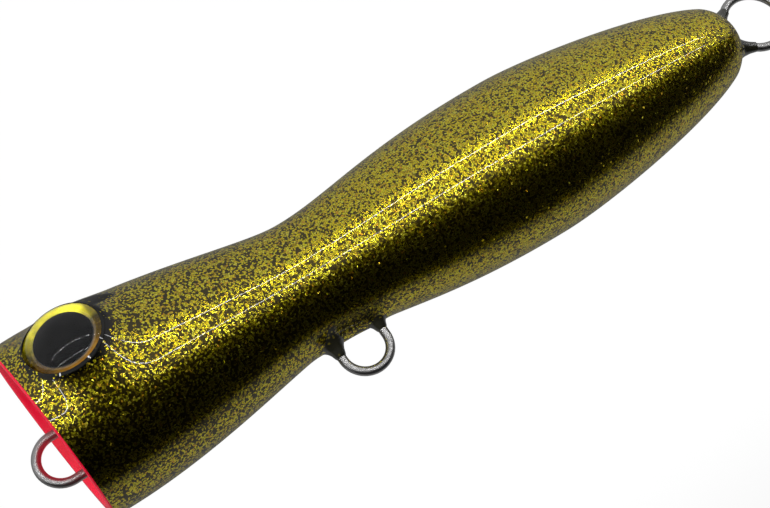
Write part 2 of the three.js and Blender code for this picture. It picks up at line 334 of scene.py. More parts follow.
def coat_surfaces():
    """The coat's outside and underside as grids of points, its flake cover and the eyes' holes."""
    stations = ring_stations()
    count = len(stations) - 1
    angle = np.arange(AROUND) * TAU / AROUND
    station, station_radius = stations[:count, :1], stations[:count, 1:]
    x = np.repeat(station, AROUND, 1)
    front = lip_x(angle)[None, :] + COAT_START
    x = x + front * (1 - smooth(x / LIP_REACH))
    radius = np.where(
        station < TAIL_START - 1, radius_at(x), np.repeat(station_radius, AROUND, 1)
    )
    from_belly = (angle[None, :] + math.pi / 2 + math.pi) % TAU - math.pi
    from_belly = np.abs(from_belly) * WAIST["radius"]
    web = smooth((WEB["half_length"] - np.abs(x - BELLY["x"])) / WEB["fade"])
    web = web * np.exp(-((from_belly / WEB["spread"]) ** 2))
    radius = radius + WEB["height"] * web
    outside = np.stack([x, radius * np.cos(angle), radius * np.sin(angle)], -1)
    bare = np.zeros((count, AROUND))
    hole = np.zeros((count, AROUND), bool)
    laps = []
    for side in (1, -1):
        outside, clear, cells, under, share = skirted(outside, side)
        bare = np.maximum(bare, clear)
        hole |= cells < RIM_CELLS
        laps.append((under, share[..., None]))
    shrink = np.maximum((radius - COAT) / radius, 0.02)
    inside = outside * np.stack([np.ones_like(shrink), shrink, shrink], -1)
    behind_lip = CUP_COAT * (1 - smooth(x / LIP_REACH))
    inside[..., 0] = np.minimum(inside[..., 0] + behind_lip, BODY_LENGTH - COAT)
    for under, share in laps:
        inside = inside * (1 - share) + under * share
    filled = smooth((outside[..., 0] - THIN_NOSE["from"]) / THIN_NOSE["over"])
    cover = THIN_NOSE["share"] + (1 - THIN_NOSE["share"]) * filled
    flakes = (1 - bare) * cover * (1 - WEB["bare"] * web)
    return outside, inside, flakes, hole


def eye_edges(faces, number):
    """Faces down the cut edges round the eyes, from the outside to the underside."""
    sides = set()
    for face in faces:
        sides.update(zip(face, face[1:] + face[:1]))
    ends = (set(number[0].tolist()), set(number[-1].tolist()))
    limit = number.size
    edges = []
    for face in faces:
        for p, q in zip(face, face[1:] + face[:1]):
            outer_side = p < limit and q < limit
            if (q, p) in sides or not outer_side or any({p, q} <= end for end in ends):
                continue
            edges.append((q, p, p + limit, q + limit))
    return edges


def coat_faces(hole, tip):
    """The outside, the underside, the edges round the eyes, the lip's edge and the tail's tips."""
    count = len(hole)
    number = np.arange(hole.size).reshape(hole.shape)
    under = number + hole.size
    lip = np.arange(AROUND) + 2 * hole.size
    faces = []
    for k in range(count - 1):
        for j in range(AROUND):
            n = (j + 1) % AROUND
            corners = [(k, j), (k + 1, j), (k + 1, n), (k, n)]
            if not any(hole[c] for c in corners):
                faces.append(tuple(int(number[c]) for c in reversed(corners)))
                faces.append(tuple(int(under[c]) for c in corners))
    faces += eye_edges(faces, number)
    for j in range(AROUND):
        n = (j + 1) % AROUND
        faces.append((int(lip[j]), int(lip[n]), int(number[0, n]), int(number[0, j])))
        faces.append((int(under[0, j]), int(under[0, n]), int(lip[n]), int(lip[j])))
        faces.append((tip, int(number[-1, j]), int(number[-1, n])))
        faces.append((tip + 1, int(under[-1, n]), int(under[-1, j])))
    return faces


def body_coat(material):
    """The black undercoat, glitter and clear epoxy as one thick skin, open at the lip and eyes."""
    outside, inside, flakes, hole = coat_surfaces()
    radial = np.array([0, 1, 1])
    edge = outside[0] * (1 - radial * EDGE_INSET)
    edge[:, 0] += EDGE_BACK
    outside[0] *= 1 - radial * EDGE_ROUNDING
    points = np.vstack([outside.reshape(-1, 3), inside.reshape(-1, 3), edge])
    tip = len(points)
    points = np.vstack([points, [[BODY_LENGTH, 0, 0]], [[BODY_LENGTH - COAT, 0, 0]]])
    faces = coat_faces(hole, tip)
    used = np.zeros(len(points), bool)
    for face in faces:
        used[list(face)] = True
    renumber = np.cumsum(used) - 1
    faces = [tuple(int(renumber[v]) for v in face) for face in faces]
    cover = np.r_[flakes.ravel(), np.zeros(flakes.size), flakes[0], 1, 0]
    return add_mesh(
        "glitter_body_coat",
        points[used],
        faces,
        material,
        ["body_coat"],
        40,
        {"flakes": cover[used]},
    )


# ---- cup ----

def tilted(points):
    """From the lip's own slanted frame to the body's."""
    p = np.asarray(points, float)
    cosine, sine = math.cos(LIP_SLANT), math.sin(LIP_SLANT)
    x, z = p[..., 0], p[..., 2]
    return np.stack([x * cosine - z * sine, p[..., 1], x * sine + z * cosine], -1)


def cup_profile():
    """(x, radius) from the bottom of the dish, over the lip's rounded edge and back behind it."""
    spread = math.acos(-CUP_CENTRE / CUP_SPHERE)
    rounding = 0.5
    thick = CUP_COAT
    dish = [
        (CUP_CENTRE + CUP_SPHERE * math.cos(a), CUP_SPHERE * math.sin(a))
        for a in np.linspace(0, spread - 0.035, 34)
    ]
    mouth = [(0.2, CUP_MOUTH - 0.12), (0.06, CUP_MOUTH + 0.12), (0.01, CUP_MOUTH + 0.45)]
    rim = [(0, CUP_MOUTH + 0.9)]
    turn = [
        (rounding * (1 - math.cos(a)), LIP_RADIUS - rounding + 0.45 * math.sin(a))
        for a in np.linspace(0, math.pi / 2, 7)
    ]
    wrap = [
        (thick, LIP_RADIUS - 0.06), (thick + 0.05, LIP_RADIUS - 0.6), (thick + 0.05, CUP_MOUTH + 0.6)
    ]
    behind = CUP_SPHERE + thick
    back = [
        (CUP_CENTRE + behind * math.cos(a), behind * math.sin(a))
        for a in np.linspace(spread - 0.06, 0, 16)
    ]
    return dish + mouth + rim + turn + wrap + back


def cup(material):
    """The red dish and lip, turned about the lip's slanted axis and stretched to the body there."""
    sides = 160
    upright, faces = revolve([(max(radius, 0.0), x) for x, radius in cup_profile()], sides)
    x, y, z = upright[:, 2], upright[:, 0], upright[:, 1]
    radius = np.hypot(y, z)
    angle = np.arctan2(z, y)
    target = np.full_like(radius, LIP_RADIUS)
    stretch = np.sqrt(np.cos(angle) ** 2 + (np.sin(angle) * math.cos(LIP_SLANT)) ** 2)
    for _ in range(4):
        target = radius_at(-target * np.sin(angle) * math.sin(LIP_SLANT)) / stretch
    grow = 1 + (target / LIP_RADIUS - 1) * smooth((radius - CUP_MOUTH) / 1.2)
    points = tilted(np.stack([x, y * grow, z * grow], -1))
    return add_mesh("red_cup_face", points, faces, material, ["cup_coat"], 50)


# ---- wire ----

def arc(centre, radius, start, end, step=0.12):
    """Points of a bend in the upright mid-plane."""
    count = max(3, int(abs(end - start) / step) + 1)
    x, z = centre
    return [
        (x + radius * math.cos(a), 0.0, z + radius * math.sin(a))
        for a in np.linspace(start, end, count)
    ]


def upper_run(x, y):
    """A point of the straight run from the tow loop to the tail loop."""
    start, end = TOW["z"] + TOW["bend"], TAIL["run"]
    share = (x - TOW["x"]) / (TAIL["x"] - 2 * TAIL["corner"] - TOW["x"])
    return (x, y, start + (end - start) * share)


def wire_route():
    """The wire's middle line from the splice round the tail, belly and tow loops and back to it."""
    quarter = math.pi / 2
    rise = TAIL["run"] + TAIL["corner"]
    reach = math.sqrt((TAIL["bend"] + TAIL["corner"]) ** 2 - rise**2)
    meet = math.atan2(rise, reach)
    corner_x = TAIL["x"] - reach
    side = BELLY["bend"] + BELLY["corner"]
    drop = BELLY["run"] - BELLY["corner"]
    start, end, blend, apart = (SPLICE[k] for k in ("start", "end", "blend", "side"))
    route = [upper_run(start, -apart), upper_run(end, -apart), upper_run(end + blend, 0)]
    route += arc((corner_x, rise), TAIL["corner"], -quarter, -meet)
    route += arc((TAIL["x"], 0), TAIL["bend"], math.pi - meet, meet - math.pi)[1:]
    route += arc((corner_x, -rise), TAIL["corner"], meet, quarter)[1:]
    route += arc((BELLY["x"] + side, drop), BELLY["corner"], quarter, math.pi)
    route += arc((BELLY["x"], BELLY["z"]), BELLY["bend"], 0, -math.pi)
    route += arc((BELLY["x"] - side, drop), BELLY["corner"], 0, quarter)
    route += arc((TOW["x"], TOW["z"]), TOW["bend"], -quarter, -3 * quarter)
    route += [upper_run(start - blend, 0), upper_run(start, apart), upper_run(end, apart)]
    return np.array(route)


def wire(material):
    """One round wire swept along its route, with flat ends."""
    sides = 24
    route = wire_route()
    ahead = np.vstack([route[1:], route[-1:] * 2 - route[-2:-1]])
    before = np.vstack([route[:1] * 2 - route[1:2], route[:-1]])
    along = ahead - before
    along /= np.linalg.norm(along, axis=1)[:, None]
    flat = np.cross(along, [0.0, 1.0, 0.0])
    flat /= np.linalg.norm(flat, axis=1)[:, None]
    side = np.cross(along, flat)
    angles = np.arange(sides) * TAU / sides
    cosines, sines = np.cos(angles)[None, :, None], np.sin(angles)[None, :, None]
    rings = route[:, None] + WIRE * (cosines * flat[:, None] + sines * side[:, None])
    points = np.vstack([rings.reshape(-1, 3), route[:1], route[-1:]])
    number = np.arange(len(route) * sides).reshape(-1, sides)
    faces = []
    for low, high in zip(number, number[1:]):
        faces += ring_faces(low.tolist(), high.tolist())
    start, end = len(points) - 2, len(points) - 1
    for i in range(sides):
        n = (i + 1) % sides
        faces.append((int(number[0, n]), int(number[0, i]), start))
        faces.append((int(number[-1, i]), int(number[-1, n]), end))
    return add_mesh(
        "through_wire_round", points, faces, material, ["through_wire"], 60
    )


# ---- epoxy mounds ----

def body_side(points):
    """Above zero outside the body, and below it inside."""
    radius = np.hypot(points[..., 1], points[..., 2])
    outline = radius_at(points[..., 0])
    return np.where(points[..., 0] > BODY_LENGTH, 1.0, radius - outline)


def dish_side(points):
    """Above zero in the open cup, and below it behind the dish."""
    centre = tilted([CUP_CENTRE, 0, 0])
    return CUP_SPHERE - np.linalg.norm(points - centre, axis=-1)


def surface_height(start, along, side_of, low, high):
    """How far along a direction from each start the surface is, by halving."""
    low = np.full(start.shape[:-1], float(low))
    high = np.full(start.shape[:-1], float(high))
    for _ in range(40):
        middle = (low + high) / 2
        inside = side_of(start + middle[..., None] * along) < 0
        low, high = np.where(inside, middle, low), np.where(inside, high, middle)
    return low


def meniscus(rings, length, base, top, power=1.7):
    """The mound's height along the wire at each distance from it: a dome on top, then a flare."""
    share = np.clip((rings - top) / (base - top), 0, 4)
    flare = length * (1 - share ** (1 / power)) - np.maximum(share - 1, 0) * 2
    dome = length + 0.12 * (1 - (rings / top) ** 2)
    return np.where(rings < top, dome, flare)


def mound(name, material, node, foot, tip, base, top, side_of, spread, blend=1.4, low=-4):
    """A meniscus of epoxy round the wire, from a foot under a surface to a tip on the wire.

    It is base wide at the foot and top wide at the tip, and its edge sinks into the surface.
    """
    sides = 48
    foot, tip = np.array(foot, float), np.array(tip, float)
    length = np.linalg.norm(tip - foot)
    along = (tip - foot) / length
    across = np.array([0.0, 1.0, 0.0])
    third = np.cross(along, across)
    rings = np.r_[0.55, np.linspace(0.8, spread, 22)]
    angle = np.arange(sides) * TAU / sides
    circle = np.cos(angle)[:, None] * across + np.sin(angle)[:, None] * third
    start = foot + rings[:, None, None] * circle[None]
    surface = surface_height(start, along, side_of, low, length + 2)
    height = smooth_max(surface, meniscus(rings, length, base, top)[:, None], blend)
    above = height - surface
    sunk = 0.06 * (1 - smooth(above / 0.12))
    points = start + (height - sunk)[..., None] * along
    skirt = points[-1] - 1.2 * along
    centre = foot + (length + 0.1) * along
    bottom = foot + (surface.min() - 1.6) * along
    all_points = np.vstack([points.reshape(-1, 3), skirt, [centre], [bottom]])
    number = np.arange(len(rings) * sides).reshape(-1, sides)
    edge = np.arange(sides) + len(rings) * sides
    faces = []
    for inner_row, outer_row in zip(number, number[1:]):
        faces += ring_faces(outer_row.tolist(), inner_row.tolist())
    faces += ring_faces(edge.tolist(), number[-1].tolist())
    top_end, bottom_end = len(all_points) - 2, len(all_points) - 1
    for i in range(sides):
        n = (i + 1) % sides
        faces.append((top_end, int(number[0, i]), int(number[0, n])))
        faces.append((bottom_end, int(edge[n]), int(edge[i])))
    flakes = 0.55 * (1 - smooth((above - 0.05) / 1.1))
    flakes = np.r_[flakes.ravel(), flakes[-1], 0, 0]
    return add_mesh(name, all_points, faces, material, [node], 60, {"flakes": flakes})


def belly_mounds(material):
    bend = BELLY["bend"]
    for name, x, z in (("front", BELLY["x"] - bend, -16.0), ("rear", BELLY["x"] + bend, -15.4)):
        mound(
            f"belly_mound_{name}", material, f"belly_collar_{name}",
            foot=(x, 0, -9), tip=(x, 0, z), base=6.2, top=1.05,
            side_of=body_side, spread=7.2, blend=2.2,
        )


def tail_mounds(material):
    for name, side in (("upper", 1), ("lower", -1)):
        mound(
            f"tail_mound_{name}", material, f"tail_collar_{name}",
            foot=(154.7, 0, 2.5 * side), tip=(160.6, 0, 5.1 * side), base=4.0, top=1.05,
            side_of=body_side, spread=5.6, low=-6,
        )


def cup_mounds(material):
    centre = tilted([CUP_CENTRE, 0, 0])
    bend = TOW["bend"]
    for name, z in (("upper", TOW["z"] + bend), ("lower", TOW["z"] - bend)):
        floor_x = centre[0] + math.sqrt(CUP_SPHERE**2 - (z - centre[2]) ** 2)
        mound(
            f"cup_mound_{name}", material, f"cup_collar_{name}",
            foot=(floor_x + 1, 0, z), tip=(floor_x - 2.3, 0, z), base=2.9, top=1.2,
            side_of=dish_side, spread=4.0, blend=0.8, low=-3,
        )


# ---- eyes ----

def on_eye_axis(points, side):
    """Moves turned points from the Z axis onto one eye's own axis."""
    foot, along, across, outward = eye_axes(side)
    p = np.asarray(points, float)
    return foot + p[:, :1] * along - p[:, 1:2] * across + p[:, 2:3] * outward


def dome_profile():
    """The clear dome: a flat bottom on the iris, a short wall and a cap from one sphere."""
    bottom = IRIS["top"] - 0.02
    spread = math.asin(EYE_RADIUS / DOME_SPHERE)
    cap = [
        (DOME_SPHERE * math.sin(a), DOME_TOP - DOME_SPHERE * (1 - math.cos(a)))
        for a in np.linspace(spread, 0, 30)[:-1]
    ]
    wall = [(0.0, bottom), (EYE_RADIUS, bottom), (EYE_RADIUS, DOME_EDGE - 0.1)]
    return wall + cap + [(0.0, DOME_TOP)]


def pupil_profile():
    """The black backing: a disc under the iris and a raised pupil in the middle of it."""
    step, top, radius = BACKING["step"], BACKING["top"], BACKING["radius"]
    disc = [(0.0, BACKING["bottom"]), (IRIS["outer"] - 0.02, BACKING["bottom"])]
    disc += [(IRIS["outer"] - 0.02, step), (radius, step)]
    return disc + [(radius, top - 0.06), (radius - 0.08, top), (3.0, top), (0.0, top)]


def iris_outline():
    """The foil ring's closed section, dished down to the pupil."""
    top, bottom, inner, outer = (IRIS[key] for key in ("top", "bottom", "inner", "outer"))
    return [
        (inner, bottom), (outer, bottom), (outer, top + 0.22), (outer - 0.12, top + 0.26),
        (outer - 0.42, top + 0.2), (inner + 0.13, top - 0.08), (inner + 0.02, top - 0.12),
    ]


def turned_ring(outline, sides):
    """A turned ring about Z from a closed outline of (radius, height) points."""
    angles = np.arange(sides) * TAU / sides
    points = [(r * math.cos(a), r * math.sin(a), h) for r, h in outline for a in angles]
    number = np.arange(len(outline) * sides).reshape(-1, sides)
    faces = []
    for i in range(len(outline)):
        faces += ring_faces(number[i].tolist(), number[(i + 1) % len(outline)].tolist())
    return np.array(points), faces


def eyes(dome, iris, pupil):
    sides = 96
    for side, name in ((-1, "left"), (1, "right")):
        points, faces = revolve(dome_profile(), sides)
        add_mesh(
            f"eye_dome_clear_{name}", on_eye_axis(points, side), faces, dome,
            [f"eye_dome_{name}"], 40,
        )
        points, faces = turned_ring(iris_outline(), sides)
        add_mesh(
            f"eye_iris_{name}", on_eye_axis(points, side), faces, iris,
            [f"iris_ring_{name}"], 40,
        )
        points, faces = revolve(pupil_profile(), sides)
        add_mesh(
            f"eye_pupil_{name}", on_eye_axis(points, side), faces, pupil,
            [f"eye_backing_{name}"], 40,
        )


# ---- materials ----

class Nodes:
    """Short calls for building one material's nodes."""

    def __init__(self, name):
        self.material = bpy.data.materials.new(name)
        self.material.use_nodes = True
        self.tree = self.material.node_tree
        self.shader = self.tree.nodes["Principled BSDF"]

    def add(self, kind, inputs=None, **settings):
        """A node with its inputs set or linked."""
        node = self.tree.nodes.new(kind)
        for key, value in settings.items():
            setattr(node, key, value)
        for key, value in (inputs or {}).items():
            self.put(node.inputs[key], value)
        return node

    def put(self, socket, value):
        """Links a socket or sets a plain value."""
        if isinstance(value, bpy.types.NodeSocket):
            self.tree.links.new(value, socket)
        else:
            socket.default_value = value

    def set(self, **values):
        """Inputs of the shader itself, with underscores for spaces."""
        for key, value in values.items():
            self.put(self.shader.inputs[key.replace("_", " ")], value)

    def math(self, operation, *values):
        node = self.add("ShaderNodeMath", operation=operation)
        for i, value in enumerate(values):
            self.put(node.inputs[i], value)
        return node.outputs[0]

    def vector(self, operation, *values):
        node = self.add("ShaderNodeVectorMath", operation=operation)
        for i, value in enumerate(values):
            self.put(node.inputs[i], value)
        return node

    def scaled(self, vector, factor):
        node = self.vector("SCALE", vector)
        self.put(node.inputs["Scale"], factor)
        return node.outputs[0]

    def ramp(self, factor, stops):
        node = self.add("ShaderNodeValToRGB", {"Fac": factor})
        elements = node.color_ramp.elements
        while len(elements) < len(stops):
            elements.new(0.5)
        for element, (position, colour) in zip(elements, stops):
            element.position = position
            element.color = (*colour, 1)
        return node.outputs["Color"]

    def mix(self, factor, a, b):
        node = self.add("ShaderNodeMix", data_type="RGBA")
        self.put(node.inputs["Factor"], factor)
        self.put(node.inputs[6], a)
        self.put(node.inputs[7], b)
        return node.outputs[2]

    def range(self, value, low, high, start=0.0, end=1.0, smooth_step=True):
        kind = "SMOOTHSTEP" if smooth_step else "LINEAR"
        node = self.add("ShaderNodeMapRange", interpolation_type=kind)
        for i, part in enumerate((value, low, high, start, end)):
            self.put(node.inputs[i], part)
        return node.outputs[0]

    def object_coordinates(self):
        return self.add("ShaderNodeTexCoord").outputs["Object"]

    def noise(self, scale, detail=2.0, roughness=0.5, vector=None):
        vector = vector or self.object_coordinates()
        return self.add(
            "ShaderNodeTexNoise",
            {"Scale": scale, "Detail": detail, "Roughness": roughness, "Vector": vector},
        ).outputs["Fac"]

    def bump(self, height, strength, distance):
        return self.add(
            "ShaderNodeBump", {"Height": height, "Strength": strength, "Distance": distance}
        ).outputs["Normal"]


def glitter_coat():
    """Gold flakes at slight angles over black, under clear epoxy, thinned by their attribute."""
    n = Nodes("glitter_over_black_under_clear")
    flake, wobble_size = 0.00037, 0.00035
    coordinates = n.object_coordinates()
    wobble = n.add(
        "ShaderNodeTexNoise", {"Scale": 1300.0, "Detail": 1.0, "Vector": coordinates}
    ).outputs["Color"]
    wobble = n.vector("SUBTRACT", wobble, (0.5, 0.5, 0.5)).outputs[0]
    coordinates = n.vector("ADD", coordinates, n.scaled(wobble, wobble_size)).outputs[0]
    placed = {"Scale": 1 / flake, "Vector": coordinates}
    cells = n.add("ShaderNodeTexVoronoi", placed)
    edges = n.add("ShaderNodeTexVoronoi", placed, feature="DISTANCE_TO_EDGE")
    dice = cells.outputs["Color"]
    split = n.add("ShaderNodeSeparateColor", {"Color": dice})
    red, green, blue = (split.outputs[key] for key in ("Red", "Green", "Blue"))
    cover = n.add("ShaderNodeAttribute", attribute_name="flakes").outputs["Fac"]
    body = n.range(edges.outputs["Distance"], 0.03, 0.09)
    chance = n.math("MULTIPLY", cover, 0.76)
    present = n.range(n.math("SUBTRACT", chance, green), -0.02, 0.04)
    mask = n.math("MULTIPLY", body, present)
    colour = n.ramp(
        blue,
        [
            (0.0, (0.42, 0.28, 0.004)),
            (0.2, (0.80, 0.60, 0.006)),
            (0.5, (0.98, 0.79, 0.012)),
            (0.75, (0.82, 0.76, 0.012)),
            (0.9, (1.0, 0.92, 0.08)),
            (1.0, (0.80, 0.38, 0.01)),
        ],
    )
    dust = n.mix(n.range(cover, 0.1, 1.0), (0.005, 0.005, 0.004, 1), (0.065, 0.048, 0.004, 1))
    lean = n.vector("SUBTRACT", dice, (0.5, 0.5, 0.5)).outputs[0]
    amount = n.math("MULTIPLY", n.range(red, 0.93, 1.0, 0.16, 0.7), mask)
    normal = n.add("ShaderNodeNewGeometry").outputs["Normal"]
    summed = n.vector("ADD", normal, n.scaled(lean, amount)).outputs[0]
    facing = n.add("ShaderNodeLayerWeight").outputs["Facing"]
    n.set(
        Base_Color=n.mix(mask, dust, colour),
        Metallic=n.range(cover, 0.0, 0.3),
        Roughness=n.range(mask, 0.0, 1.0, 0.34, 0.25),
        Specular_IOR_Level=0.0,
        Normal=n.vector("NORMALIZE", summed).outputs[0],
        Coat_Weight=n.range(facing, 0.2, 0.6, 1.0, 0.4),
        Coat_Roughness=0.02,
        Coat_IOR=1.5,
        Coat_Normal=n.bump(n.noise(1500.0, 2.0, 0.5), 0.06, 0.00006),
    )
    return n.material


def red_lacquer():
    """Opaque red with slightly duller patches."""
    n = Nodes("red_lacquer_gloss")
    drift = n.noise(90.0, 2.0)
    grime = n.noise(420.0, 4.0, 0.6)
    colour = n.mix(n.range(drift, 0.35, 0.7), (0.80, 0.010, 0.045, 1), (0.70, 0.006, 0.030, 1))
    colour = n.mix(n.range(grime, 0.62, 0.8, 0.0, 0.35), colour, (0.55, 0.004, 0.02, 1))
    n.set(
        Base_Color=colour,
        Roughness=n.range(grime, 0.3, 0.8, 0.2, 0.34),
        Normal=n.bump(n.noise(700.0, 2.0), 0.12, 0.0001),
        Specular_IOR_Level=0.2,
        Coat_Weight=0.15,
        Coat_Roughness=0.08,
    )
    return n.material


def epoxy():
    """Clear epoxy over black, with a few flakes caught at its edge."""
    n = Nodes("epoxy_over_black")
    coordinates = n.object_coordinates()
    cells = n.add("ShaderNodeTexVoronoi", {"Scale": 1700.0, "Vector": coordinates})
    split = n.add("ShaderNodeSeparateColor", {"Color": cells.outputs["Color"]})
    cover = n.add("ShaderNodeAttribute", attribute_name="flakes").outputs["Fac"]
    present = n.range(n.math("SUBTRACT", cover, split.outputs["Green"]), -0.02, 0.04)
    core = n.range(cells.outputs["Distance"], 0.5, 0.34)
    mask = n.math("MULTIPLY", core, present)
    tone = n.mix(n.noise(500.0, 2.0), (0.010, 0.010, 0.007, 1), (0.030, 0.029, 0.016, 1))
    n.set(
        Base_Color=n.mix(mask, tone, (0.72, 0.60, 0.08, 1)),
        Metallic=n.math("MULTIPLY", mask, 0.9),
        Roughness=n.range(mask, 0.0, 1.0, 0.3, 0.35),
        Coat_Weight=1.0,
        Coat_Roughness=0.03,
        Coat_Normal=n.bump(n.noise(450.0, 2.0), 0.3, 0.0002),
    )
    return n.material


def stainless():
    """Drawn wire that is polished and a little clouded."""
    n = Nodes("polished_stainless_wire")
    drawn = n.noise(600.0, 2.0, 0.5)
    patches = n.noise(250.0, 2.0)
    n.set(
        Base_Color=n.mix(patches, (0.38, 0.38, 0.38, 1), (0.52, 0.51, 0.50, 1)),
        Metallic=1.0,
        Roughness=n.range(drawn, 0.3, 0.75, 0.34, 0.40),
        Normal=n.bump(patches, 0.05, 0.00004),
    )
    return n.material


def clear_resin():
    """The eye's clear dome."""
    n = Nodes("clear_eye_resin")
    n.set(
        Base_Color=(1.0, 0.995, 0.97, 1),
        Transmission_Weight=1.0,
        IOR=1.22,
        Roughness=0.0,
        Coat_Weight=n.range(n.noise(420.0, 2.0), 0.3, 0.7, 0.75, 1.0),
        Coat_Roughness=0.09,
        Coat_IOR=1.3,
    )
    return n.material


def iris_foil_painted_light():
    """Gold foil with painted light: a painted highlight at the top of the ring, painted shade at its
    sides and amber below.
    """
    n = Nodes("gold_iris_foil")
    coordinates = n.object_coordinates()
    grain = n.noise(1400.0, 3.0, 0.6, coordinates)
    tone = n.noise(260.0, 2.0, 0.5, coordinates)
    # The colour follows height to paint light through the dome: painted highlight above, painted
    # shade at the sides.
    height = n.add("ShaderNodeSeparateXYZ", {"Vector": coordinates}).outputs["Z"]
    low, high = (LIP[2] + above_axis * MM for above_axis in (0.5, 14.0))
    height = n.math("ADD", height, n.range(tone, 0.3, 0.7, -0.0012, 0.0012))
    colour = n.ramp(
        n.range(height, low, high, smooth_step=False),
        [
            (0.0, (0.42, 0.18, 0.003)),
            (0.3, (0.08, 0.04, 0.002)),
            (0.5, (0.05, 0.04, 0.002)),
            (0.7, (0.40, 0.36, 0.005)),
            (0.82, (0.98, 0.88, 0.03)),
            (1.0, (1.0, 0.94, 0.05)),
        ],
    )
    colour = n.mix(n.range(grain, 0.45, 0.75, 0.0, 0.4), colour, (0.55, 0.36, 0.01, 1))
    n.set(
        Base_Color=colour,
        Metallic=0.9,
        Specular_IOR_Level=0.1,
        Roughness=n.range(grain, 0.3, 0.8, 0.3, 0.5),
        Normal=n.bump(grain, 0.3, 0.00005),
    )
    return n.material


def pupil_black():
    """Black print with faint specks."""
    n = Nodes("black_pupil_print")
    speck = n.noise(900.0, 3.0, 0.6)
    specks = n.range(speck, 0.6, 0.8)
    n.set(
        Base_Color=n.mix(specks, (0.001, 0.001, 0.0015, 1), (0.003, 0.003, 0.004, 1)),
        Roughness=n.range(speck, 0.3, 0.8, 0.35, 0.55),
        Specular_IOR_Level=0.05,
        Normal=n.bump(speck, 0.1, 0.00003),
    )
    return n.material


def timber():
    """Pale timber with its grain along the lure."""
    n = Nodes("pale_timber")
    coordinates = n.object_coordinates()
    stretched = n.vector("MULTIPLY", coordinates, (0.08, 1.0, 1.0)).outputs[0]
    rings = n.add(
        "ShaderNodeTexWave",
        {
            "Scale": 260.0,
            "Distortion": 3.0,
            "Detail": 3.0,
            "Detail Scale": 2.0,
            "Vector": stretched,
        },
        bands_direction="Z",
    ).outputs["Fac"]
    pores = n.noise(2500.0, 4.0, 0.7, stretched)
    colour = n.mix(rings, (0.56, 0.38, 0.20, 1), (0.70, 0.52, 0.31, 1))
    colour = n.mix(n.range(pores, 0.55, 0.75, 0.0, 0.6), colour, (0.38, 0.23, 0.11, 1))
    n.set(
        Base_Color=colour,
        Roughness=n.range(pores, 0.3, 0.8, 0.6, 0.85),
        Normal=n.bump(pores, 0.3, 0.0001),
    )
    return n.material


def cast_lead():
    """Dull grey lead."""
    n = Nodes("cast_lead")
    mottling = n.noise(380.0, 4.0, 0.6)
    n.set(
        Base_Color=n.mix(mottling, (0.13, 0.14, 0.15, 1), (0.26, 0.27, 0.29, 1)),
        Metallic=n.range(mottling, 0.3, 0.7, 0.6, 0.9),
        Roughness=n.range(mottling, 0.3, 0.7, 0.45, 0.7),
        Normal=n.bump(mottling, 0.4, 0.0001),
    )
    return n.material


def pressed_copper():
    """Copper sleeve, a little tarnished."""
    n = Nodes("pressed_copper")
    tarnish = n.noise(700.0, 4.0, 0.6)
    n.set(
        Base_Color=n.mix(tarnish, (0.62, 0.27, 0.14, 1), (0.78, 0.42, 0.26, 1)),
        Metallic=1.0,
        Roughness=n.range(tarnish, 0.3, 0.7, 0.22, 0.45),
        Normal=n.bump(tarnish, 0.3, 0.00005),
    )
    return n.material


# ---- pieces ----

body_coat(glitter_coat())
cup(red_lacquer())
wire(stainless())
mound_epoxy = epoxy()
belly_mounds(mound_epoxy)
tail_mounds(mound_epoxy)
cup_mounds(mound_epoxy)
eyes(clear_resin(), iris_foil_painted_light(), pupil_black())

# CAD nodes that stay as they are, inside the lure, and only get a material
for material, carried in (
    (timber(), ("body_half_left", "body_half_right")),
    (pressed_copper(), ("splice_sleeve_front", "splice_sleeve_rear")),
    (cast_lead(), ("mid_ballast", "rear_ballast")),
):
    for node in carried:
        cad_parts[node].data.materials.clear()
        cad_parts[node].data.materials.append(material)


# ---- camera ----

# The camera's distance in millimetres, its angles and its lens
VIEW = {
    "distance": 245.1,
    "yaw": math.radians(15.83),
    "below": math.radians(20),
    "lean": math.radians(30.424),
    "nod": math.radians(0.595),
    "lens": 62.6,
    "sensor": 36,
}

# From the camera's side in through the lure, and square to that towards the belly
INWARD = Vector((0, math.cos(VIEW["below"]), math.sin(VIEW["below"])))
DOWNWARD = Vector((0, math.sin(VIEW["below"]), -math.cos(VIEW["below"])))


def add_camera():
    """On the left of the lip and below it, turned towards the tail and leaned over."""
    yaw, lean = VIEW["yaw"], VIEW["lean"]
    along = Vector((1, 0, 0))
    forward = math.cos(yaw) * INWARD + math.sin(yaw) * along + math.tan(VIEW["nod"]) * DOWNWARD
    forward.normalize()
    level = math.cos(yaw) * along - math.sin(yaw) * INWARD
    right = math.cos(lean) * level + math.sin(lean) * DOWNWARD
    right = (right - right.dot(forward) * forward).normalized()
    up = right.cross(forward)
    data = bpy.data.cameras.new("camera")
    data.lens = VIEW["lens"]
    data.sensor_width = VIEW["sensor"]
    data.clip_start, data.clip_end = 0.01, 20
    camera = bpy.data.objects.new("camera", data)
    turn = Matrix((right, up, -forward)).transposed()
    place = Vector(to_row(-VIEW["distance"] * INWARD))
    camera.matrix_world = Matrix.Translation(place) @ turn.to_4x4()
    bpy.context.scene.collection.objects.link(camera)
    bpy.context.scene.camera = camera


# ---- studio ----

# Degrees about the lure's length and the light from there: 0 is the camera's side and 90 is below
SKY = [
    (-180, 0.17), (-145, 0.28), (-110, 0.46), (-75, 0.48), (-45, 0.50), (-30, 0.44), (-8, 0.42),
    (-1, 0.28), (6, 0.03), (14, 0.002), (82, 0.002), (96, 0.26), (110, 0.36), (145, 0.22),
    (180, 0.13),
]

# Lamps and bowl in metres and watts, apart from the strips' middle, in millimetres along the lure
STRIP = {"length": 1.9, "distance": 0.6, "middle": 300.0}
SOFTBOX = {"size": 1.1, "energy": 8.5, "distance": 0.8, "towards": Vector((-1, -0.25, 0.1))}
BOWL = {"floor": -0.14, "flat": 1.6, "curve": 1.0, "top": 3.2}


